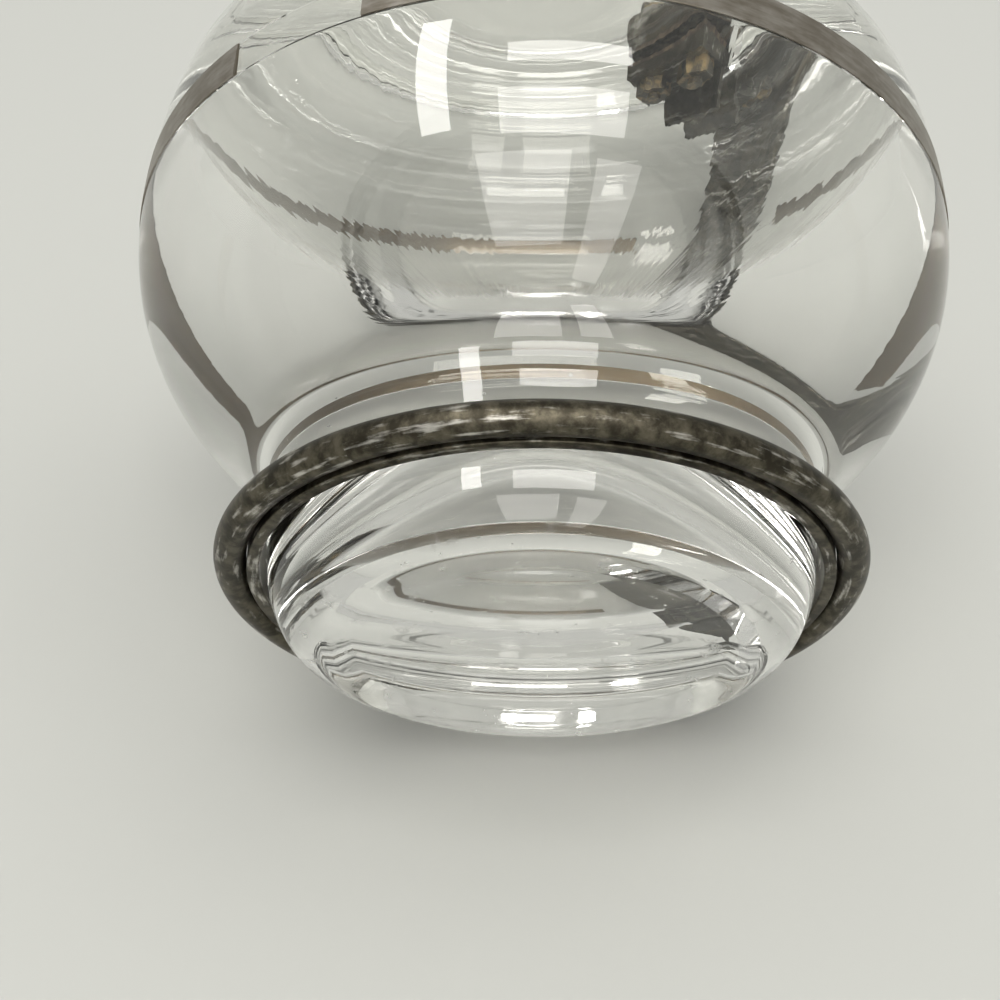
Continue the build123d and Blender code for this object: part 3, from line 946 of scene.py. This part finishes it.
class ShapeTree(Graph):
    """A Geometry Nodes tree with named inputs, run once and turned into a mesh."""

    def __init__(self, name: str, sizes: dict[str, float]) -> None:
        """Start the tree.

        Args:
            name: The tree's name.
            sizes: Its named inputs and their values, in metres or counts.
        """
        super().__init__(bpy.data.node_groups.new(name, "GeometryNodeTree"))
        self.sizes = sizes
        self.name = name
        for label, value in sizes.items():
            kind = "NodeSocketInt" if isinstance(value, int) else "NodeSocketFloat"
            self.tree.interface.new_socket(label, in_out="INPUT", socket_type=kind)
        self.tree.interface.new_socket("Material", in_out="INPUT", socket_type="NodeSocketMaterial")
        self.tree.interface.new_socket("Geometry", in_out="OUTPUT", socket_type="NodeSocketGeometry")
        self.inputs = self.add("NodeGroupInput")

    def size(self, label: str) -> Wire:
        """One of the tree's named inputs."""
        return Wire(self, self.inputs.outputs[label])

    def end(self, geometry: Wire) -> None:
        """Realize, shade smooth, set the material and join to the output."""
        real = self.node("GeometryNodeRealizeInstances", None, {"Geometry": geometry})
        smooth = self.node("GeometryNodeSetShadeSmooth", None, {"Geometry": real})
        dressed = self.node(
            "GeometryNodeSetMaterial", None, {"Geometry": smooth, "Material": self.size("Material")}
        )
        self.add("NodeGroupOutput", None, {0: dressed})

    def bake(self, name: str, material: bpy.types.Material) -> bpy.types.Object:
        """Run the tree on an empty mesh and keep the result as a plain mesh.

        Args:
            name: The new object's name.
            material: The material that the tree sets.

        Returns:
            The new object.
        """
        holder = bpy.data.objects.new(f"{name}_holder", bpy.data.meshes.new(f"{name}_holder"))
        bpy.context.scene.collection.objects.link(holder)
        modifier = holder.modifiers.new("tree", "NODES")
        modifier.node_group = self.tree
        for item in self.tree.interface.items_tree:
            if item.in_out == "INPUT":
                modifier[item.identifier] = (
                    material if item.name == "Material" else self.sizes[item.name]
                )
        depsgraph = bpy.context.evaluated_depsgraph_get()
        mesh = bpy.data.meshes.new_from_object(holder.evaluated_get(depsgraph))
        holder.modifiers.clear()
        bpy.data.objects.remove(holder)
        mesh.name = name
        made = bpy.data.objects.new(name, mesh)
        bpy.context.scene.collection.objects.link(made)
        return made


@dataclass
class RivetPair:
    """Two domed rivets through the strap's end, set by a Geometry Nodes tree."""

    shank_radius: float = 0.9
    head_radius: float = 1.7
    head_height: float = 0.7
    spacing: float = 5.0

    def tree(self) -> ShapeTree:
        """The tree: one shank with two domed heads, repeated across the strap."""
        low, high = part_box("bracket_rivets")
        tree = ShapeTree("rivets_along_a_line", {
            "Count": 2,
            "Spacing": self.spacing * MM,
            "Setback": (low.x + high.x) / 2,
            "Bottom": low.z,
            "Top": high.z,
            "Shank Radius": self.shank_radius * MM,
            "Head Radius": self.head_radius * MM,
            "Head Height": self.head_height * MM,
        })
        length = tree.size("Top") - tree.size("Bottom") - tree.size("Head Height") * 2.0
        middle = (tree.size("Top") + tree.size("Bottom")) * 0.5
        shank = tree.node("GeometryNodeMeshCylinder", None, {
            "Vertices": 32, "Radius": tree.size("Shank Radius"), "Depth": length,
        })
        ball = tree.node("GeometryNodeMeshUVSphere", None, {"Segments": 40, "Rings": 20, "Radius": 1.0})
        parts = [self.placed(tree, shank, middle, None)]
        squash = tree.node("ShaderNodeCombineXYZ", None, {
            0: tree.size("Head Radius"), 1: tree.size("Head Radius"), 2: tree.size("Head Height"),
        })
        for seat in (
            tree.size("Top") - tree.size("Head Height"),
            tree.size("Bottom") + tree.size("Head Height"),
        ):
            parts.append(self.placed(tree, ball, seat, squash))
        whole = tree.add("GeometryNodeJoinGeometry")
        for part in parts:
            tree.feed(whole.inputs[0], part)
        first = tree.node("ShaderNodeCombineXYZ", None, {
            0: tree.size("Setback"), 1: tree.size("Spacing") * -0.5,
        })
        step = tree.node("ShaderNodeCombineXYZ", None, {1: tree.size("Spacing")})
        line = tree.node("GeometryNodeMeshLine", None, {
            "Count": tree.size("Count"), "Start Location": first, "Offset": step,
        })
        tree.end(tree.node("GeometryNodeInstanceOnPoints", None, {
            "Points": line, "Instance": Wire(tree, whole.outputs[0]),
        }))
        return tree

    @staticmethod
    def placed(tree: ShapeTree, shape: Wire, height: Wire, scale: Wire | None) -> Wire:
        """A shape lifted to a height and scaled."""
        lift = tree.node("ShaderNodeCombineXYZ", None, {2: height})
        values = {"Geometry": shape, "Translation": lift}
        if scale is not None:
            values["Scale"] = scale
        return tree.node("GeometryNodeTransform", None, values)

    def build(self, brass: bpy.types.Material) -> None:
        """Run the tree and install the rivets."""
        rivets = self.tree().bake("bracket_rivet_pair", brass)
        install(rivets, brass, Body.PITCHER, ["bracket_rivets"])


@dataclass
class Bubbles:
    """Small bubbles caught in the thick base, scattered by a Geometry Nodes tree."""

    count: int = 46
    reach: float = 20.0
    low: float = 3.0
    high: float = 24.0
    small: float = 0.07
    large: float = 0.22
    seed: int = 7

    def tree(self) -> ShapeTree:
        """The tree: seeded points in a drum, each with a small ball."""
        tree = ShapeTree("bubbles_in_the_base", {
            "Count": self.count,
            "Reach": self.reach * MM,
            "Low": self.low * MM,
            "High": self.high * MM,
            "Small": self.small * MM,
            "Large": self.large * MM,
            "Seed": self.seed,
        })
        turn = self.spread(tree, 0.0, math.tau, 1)
        share = self.spread(tree, 0.0, 1.0, 2).power(0.5)
        height = self.spread(tree, tree.size("Low"), tree.size("High"), 3)
        size = self.spread(tree, 0.0, 1.0, 4).power(2.0)
        radius = share * tree.size("Reach")
        cos = tree.node("ShaderNodeMath", {"operation": "COSINE"}, {0: turn})
        sin = tree.node("ShaderNodeMath", {"operation": "SINE"}, {0: turn})
        place = tree.node("ShaderNodeCombineXYZ", None, {0: radius * cos, 1: radius * sin, 2: height})
        points = tree.node("GeometryNodePoints", None, {"Count": tree.size("Count"), "Position": place})
        ball = tree.node("GeometryNodeMeshIcoSphere", None, {"Radius": 1.0, "Subdivisions": 3})
        scale = tree.size("Small") + size * (tree.size("Large") - tree.size("Small"))
        tree.end(tree.node("GeometryNodeInstanceOnPoints", None, {
            "Points": points, "Instance": ball, "Scale": scale,
        }))
        return tree

    @staticmethod
    def spread(tree: ShapeTree, low: object, high: object, salt: int) -> Wire:
        """A random value for each point, its seed offset by a salt."""
        seed = tree.size("Seed") + salt
        return tree.node(
            "FunctionNodeRandomValue", {"data_type": "FLOAT"}, {2: low, 3: high, "Seed": seed}, output=1
        )

    def build(self, air: bpy.types.Material) -> None:
        """Run the tree and install the bubbles."""
        bubbles = self.tree().bake("base_bubbles", air)
        install(bubbles, air, Body.PITCHER)


@dataclass
class LidGlass:
    """Clear lid: flange, shallow dome, register ring and the notch for the leaf."""

    radius: float = 33.4
    wall: float = 2.4
    dome_radius: float = 22.0
    dome_rise: float = 5.6
    dome_fullness: float = 0.8
    register_outer: float = 30.5
    register_wall: float = 1.8
    register_depth: float = 1.6
    bottom: float = 67.8
    notch_end: float = 29.2
    notch_width: float = 8.8
    jaw_room: float = 9.6
    screw_hole: float = 1.05
    screw_spacing: float = 4.8
    screw_x: float = 26.1
    register_edge: float = 0.3
    turns: int = 192

    def outline(self) -> list[Station]:
        """Stations from the crown, over the edge and back under to the middle."""
        top = self.bottom + self.wall
        crown = top + self.dome_rise
        full = self.dome_fullness * self.dome_radius
        inner = self.dome_radius - self.wall / 2
        register_inner = self.register_outer - self.register_wall
        deep = self.bottom - self.register_depth
        small = self.register_edge
        return joined(
            bezier((0, crown), (self.dome_radius / 2, crown), (full, top), (self.dome_radius, top), 40),
            along((self.dome_radius, top), (self.radius - self.wall / 2, top), 8),
            oval((self.radius - self.wall / 2, self.bottom + self.wall / 2), self.wall / 2,
                 self.wall / 2, 90, -180, 16),
            along((self.radius - self.wall / 2, self.bottom), (self.register_outer, self.bottom), 2),
            along((self.register_outer, self.bottom), (self.register_outer, deep + small), 2),
            oval((self.register_outer - small, deep + small), small, small, 0, -90, 5),
            oval((register_inner + small, deep + small), small, small, -90, -90, 5),
            along((register_inner, deep + small), (register_inner, self.bottom), 2),
            along((register_inner, self.bottom), (inner, self.bottom), 4),
            bezier((inner, self.bottom), (full - self.wall / 2, self.bottom),
                   (self.dome_radius / 2, crown - self.wall), (0, crown - self.wall), 40),
        )

    def cutter(self) -> bpy.types.Object:
        """Notch, jaw room and screw holes, as one object of separate boxes and drums."""
        low, high = self.bottom - 2 * self.register_depth, self.bottom + 2 * self.wall
        reach = 2 * self.radius
        cuts = bmesh.new()
        for start, width, top in (
            (self.notch_end, self.notch_width, high),
            (self.dome_radius, self.jaw_room, self.bottom),
        ):
            size = Matrix.Diagonal((reach * MM, width * MM, (top - low) * MM, 1))
            middle = Matrix.Translation(((start + reach / 2) * MM, 0, (top + low) / 2 * MM))
            bmesh.ops.create_cube(cuts, size=1, matrix=middle @ size)
        for side in (-1, 1):
            place = Vector((self.screw_x, side * self.screw_spacing / 2, (low + high) / 2)) * MM
            bmesh.ops.create_cone(
                cuts, cap_ends=True, segments=32, radius1=self.screw_hole * MM,
                radius2=self.screw_hole * MM, depth=(high - low) * MM,
                matrix=Matrix.Translation(place),
            )
        mesh = bpy.data.meshes.new("lid_cuts")
        cuts.to_mesh(mesh)
        cuts.free()
        return show("lid_cuts", mesh)

    def build(self, glass: bpy.types.Material) -> None:
        """Turn the outline, cut it and install the lid."""
        skin = Skin()
        for radius, height in self.outline():
            skin.ring([(0.0, 0.0, height)] if radius < 1e-6 else circle(radius, height, self.turns))
        lid = skin.make("lid_glass_clear")
        cutter = self.cutter()
        cut = lid.modifiers.new("cuts", "BOOLEAN")
        cut.operation, cut.solver, cut.object, cut.use_self = "DIFFERENCE", "EXACT", cutter, True
        depsgraph = bpy.context.evaluated_depsgraph_get()
        mesh = bpy.data.meshes.new_from_object(lid.evaluated_get(depsgraph))
        lid.modifiers.clear()
        bpy.data.objects.remove(cutter)
        bpy.data.objects.remove(lid)
        install(show("lid_glass_clear", mesh, 35.0), glass, Body.LID, ["lid_glass"])


@dataclass
class Fittings:
    """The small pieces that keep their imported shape."""

    def build(self, finishes: dict[str, bpy.types.Material]) -> None:
        """Give each carried-over node its finish.

        Args:
            finishes: Materials by node name.
        """
        for node, material in finishes.items():
            carry_over(node, material)


@dataclass(frozen=True)
class View:
    """The photograph's view: where the camera stands and how it is turned.

    The view's own level axes lie across and away from the camera, about the glass's axis.
    """

    across: Vector = Vector((0.555, -0.832, 0.0))
    away: Vector = Vector((0.832, 0.555, 0.0))
    stand: Point = (-4.12, -159.75, -69.23)
    rise: float = 28.35
    roll: float = 0.97
    focal_px: float = 1800.0
    frame_px: float = 1000.0
    sensor: float = 36.0
    table_offset: float = 28.5
    table_lean: float = 21.8

    def turned(self, point: Sequence[float]) -> Vector:
        """A point or direction given across, away and up, in the object's axes."""
        return point[0] * self.across + point[1] * self.away + point[2] * Vector((0, 0, 1))

    def camera(self) -> bpy.types.Object:
        """Make the camera and make it the scene's."""
        rise, roll = math.radians(self.rise), math.radians(self.roll)
        forward = self.turned((0, math.cos(rise), math.sin(rise)))
        up = self.turned((0, -math.sin(rise), math.cos(rise)))
        right = self.turned((1, 0, 0))
        turned_right = math.cos(roll) * right + math.sin(roll) * up
        turned_up = math.cos(roll) * up - math.sin(roll) * right
        data = bpy.data.cameras.new("view")
        data.sensor_width = self.sensor
        data.lens = self.focal_px / self.frame_px * self.sensor
        data.clip_start = 0.005
        made = bpy.data.objects.new("view", data)
        axes = Matrix((turned_right, turned_up, -forward)).transposed().to_4x4()
        made.matrix_world = Matrix.Translation(self.turned(self.stand) * MM) @ axes
        bpy.context.scene.collection.objects.link(made)
        bpy.context.scene.camera = made
        return made

    def table_normal(self) -> Vector:
        """Way up from the table that the jug lies on in this view."""
        lean = math.radians(self.table_lean)
        return self.turned((0, -math.cos(lean), math.sin(lean)))

    def table_up_view(self) -> Vector:
        """Along the table, towards the top of the view."""
        lean = math.radians(self.table_lean)
        return self.turned((0, math.sin(lean), math.cos(lean)))


@dataclass
class Studio:
    """Table, floor, lamps and the pale room."""

    view: View
    table_size: float = 2.4
    floor_size: float = 3.0
    aim_height: float = 0.04
    globe_middle: float = 0.044
    key_power: float = 5.5
    key_size: float = 0.6
    key_distance: float = 1.1
    key_drop: float = 0.45
    key_left: float = 0.1
    fill_share: float = 0.4
    fill_size: float = 0.9
    fill_distance: float = 1.4
    fill_drop: float = 0.1
    fill_right: float = 0.5
    faces: tuple[LampFace, ...] = (
        LampFace("tube_lamp", -31.5, -24.0, -12.5, 33.0, 12.0),
        LampFace("window_top", -9.7, 19.5, 11.5, 19.5, 9.0),
        LampFace("window_middle", -12.0, 19.0, -16.0, 1.0, 7.0),
        LampFace("window_low", -19.0, 6.0, -52.0, -22.0, 4.5),
        LampFace("door_light", 13.0, 25.0, -62.0, -24.0, 4.0),
    )
    face_distance: float = 0.9
    room_seen: tuple[float, float, float, float] = (0.53, 0.53, 0.5, 1.0)
    room_light: tuple[float, float, float, float] = (0.8, 0.81, 0.8, 1.0)

    def sheet(self, name: str, centre: Vector, normal: Vector, size: float, finish: PaleSheet) -> None:
        """A one-sided square sheet that belongs to the stage."""
        turn = normal.to_track_quat("Z", "Y").to_matrix().to_4x4()
        place = Matrix.Translation(centre) @ turn
        half = size / 2
        square = ((-half, -half), (half, -half), (half, half), (-half, half))
        corners = [place @ Vector((x, y, 0)) for x, y in square]
        mesh = bpy.data.meshes.new(name)
        mesh.from_pydata(corners, [], [(0, 1, 2, 3)])
        made = bpy.data.objects.new(name, mesh)
        bpy.context.scene.collection.objects.link(made)
        made.data.materials.append(finish.material())

    def lamp(self, name: str, towards: Vector, distance: float, size: float, power: float) -> None:
        """A square area lamp that shines on the middle of the globe."""
        middle = Vector((0, 0, self.aim_height))
        data = bpy.data.lights.new(name, "AREA")
        data.size, data.energy = size, power
        data.color = (1.0, 0.985, 0.955)
        made = bpy.data.objects.new(name, data)
        made.location = middle + towards.normalized() * distance
        made.rotation_mode = "QUATERNION"
        made.rotation_quaternion = towards.to_track_quat("Z", "Y")
        made.visible_camera = False
        made.visible_glossy = False
        made.visible_transmission = False
        bpy.context.scene.collection.objects.link(made)

    def face(self, lamp: LampFace) -> None:
        """A bright face that only glass and metal see."""
        middle = Vector((0, 0, self.globe_middle))
        corners = []
        for right, up in (
            (lamp.left, lamp.low), (lamp.right, lamp.low), (lamp.right, lamp.high), (lamp.left, lamp.high),
        ):
            turn, rise = math.radians(right), math.radians(up)
            towards = (math.sin(turn) * math.cos(rise), -math.cos(turn) * math.cos(rise), math.sin(rise))
            corners.append(middle + self.face_distance * self.view.turned(towards))
        mesh = bpy.data.meshes.new(lamp.name)
        mesh.from_pydata(corners, [], [(0, 1, 2, 3)])
        made = bpy.data.objects.new(lamp.name, mesh)
        bpy.context.scene.collection.objects.link(made)
        made.data.materials.append(lamp.material())
        made.visible_camera = False
        made.visible_diffuse = False
        made.visible_shadow = False

    def world(self) -> None:
        """Even pale light from all round."""
        world = bpy.data.worlds.new("room")
        bpy.context.scene.world = world
        world.use_nodes = True
        world.node_tree.nodes.clear()
        graph = Graph(world.node_tree)
        lights = graph.node("ShaderNodeLightPath", output="Is Diffuse Ray")
        tone = graph.mix(lights, self.room_seen, self.room_light)
        glow = graph.node("ShaderNodeBackground", None, {"Color": tone, "Strength": 1.0})
        graph.add("ShaderNodeOutputWorld", None, {"Surface": glow})

    def build(self) -> None:
        """Set up the stage and the lights."""
        normal = self.view.table_normal()
        up_view = self.view.table_up_view()
        across = self.view.turned((1, 0, 0))
        foot = self.view.turned((0, self.view.table_offset, 0)) * MM
        self.sheet("table", foot, normal, self.table_size, PaleSheet("table_top", False))
        level = Vector((0, 0, 1))
        self.sheet("floor", Vector((0, 0, 0)), level, self.floor_size, PaleSheet("floor_top", True))
        key = normal - self.key_drop * up_view - self.key_left * across
        fill = normal - self.fill_drop * up_view + self.fill_right * across
        self.lamp("key", key, self.key_distance, self.key_size, self.key_power)
        fill_power = self.fill_share * self.key_power
        self.lamp("fill", fill, self.fill_distance, self.fill_size, fill_power)
        for lamp in self.faces:
            self.face(lamp)
        self.world()


def main() -> None:
    """Build the sub-assemblies in order, dress them and set the stage."""
    logging.basicConfig(level=logging.INFO, format="%(name)s %(message)s")
    tarnish = TarnishedPlate("tarnished_plate").material()
    band = BandPlate("band_plate").material()
    brass = WornBrass("worn_brass").material()
    pad = CorkPad("cork_pad").material()
    view = View()
    view.camera()
    body = GlassBody()
    body.build(ClearGlass("body_glass").material())
    Bubbles().build(BubbleAir().material())
    WaistBand(body).build(band)
    BaseRing().build(tarnish)
    StrapHandle().build(tarnish)
    RivetPair().build(brass)
    LidGlass().build(ClearGlass("lid_glass", ripple_depth=0.0).material())
    Fittings().build({
        "hinge_bracket": tarnish,
        "rim_clip_inner": tarnish,
        "rim_clip_outer": tarnish,
        "hinge_pin": brass,
        "lid_leaf": tarnish,
        "lid_jaw": tarnish,
        "lid_pad_upper": pad,
        "lid_pad_lower": pad,
        "lid_screws": brass,
        "lid_nuts": brass,
    })
    Studio(view).build()
    bpy.context.scene.view_settings.view_transform = "Standard"


if __name__ == "__main__":
    main()
